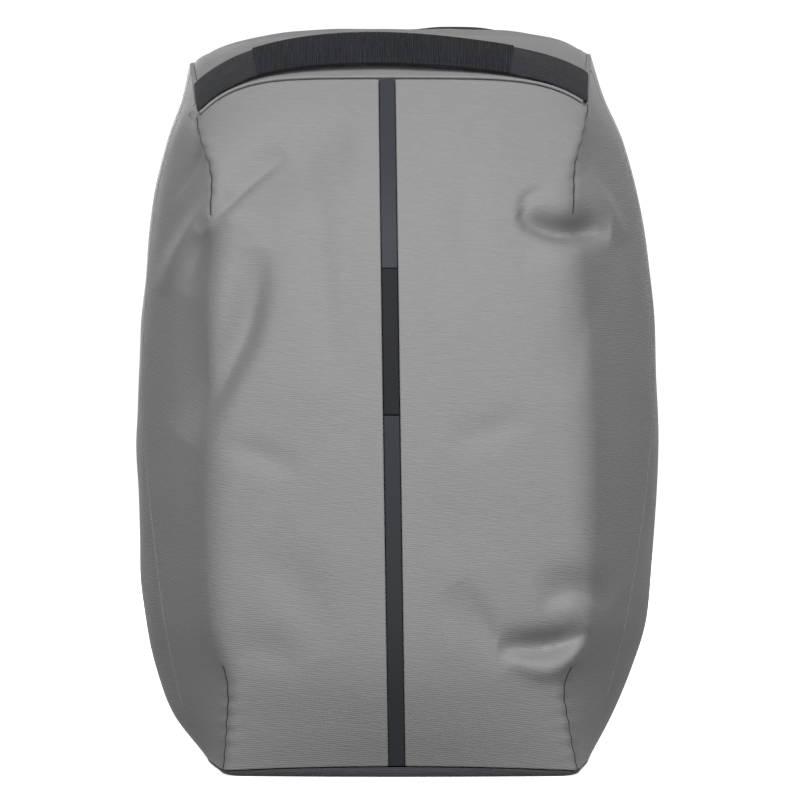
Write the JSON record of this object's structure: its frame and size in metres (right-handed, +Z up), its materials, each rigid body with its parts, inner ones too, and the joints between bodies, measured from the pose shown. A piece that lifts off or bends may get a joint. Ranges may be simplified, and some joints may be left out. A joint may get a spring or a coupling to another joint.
{
  "type": "backpack",
  "caption": "Soft anti theft laptop backpack with a plain front, a way in at the back, padded shoulder straps and a webbing carry handle, standing on its base.",
  "frame": {"origin": "on the ground, under the middle of the whole object's box", "axes": "+Z up, +Y towards the wearer's back, +X to the right of someone who looks at the front"},
  "size_m": [0.3128, 0.25, 0.44],
  "materials": {
    "grey_polyester": "fine horizontal weave, matt with a slight sheen",
    "black_trim": "smooth coated tape",
    "black_webbing": "coarse woven webbing, ribbed on the grip",
    "black_polyester": "matt black cloth",
    "black_plastic": "moulded, matt"
  },
  "bodies": {
    "root": {"front_panel_left": "grey_polyester", "front_panel_right": "grey_polyester", "side_gusset_left": "grey_polyester", "side_gusset_right": "grey_polyester", "top_panel": "grey_polyester", "top_seam_piping": "grey_polyester", "centre_band_upper": "black_trim", "centre_band_patch": "black_trim", "centre_band_lower": "black_trim", "rear_zip": "black_trim", "handle_webbing": "black_webbing", "handle_grip": "black_webbing", "strap_webbing_left": "black_webbing", "strap_webbing_right": "black_webbing", "strap_anchor_left": "black_webbing", "strap_anchor_right": "black_webbing", "base_panel": "black_polyester", "back_panel": "black_polyester", "shoulder_strap_left": "black_polyester", "shoulder_strap_right": "black_polyester", "strap_buckle_left": "black_plastic", "strap_buckle_right": "black_plastic", "zip_pull_left": "black_plastic", "zip_pull_right": "black_plastic"}
  },
  "joints": []
}
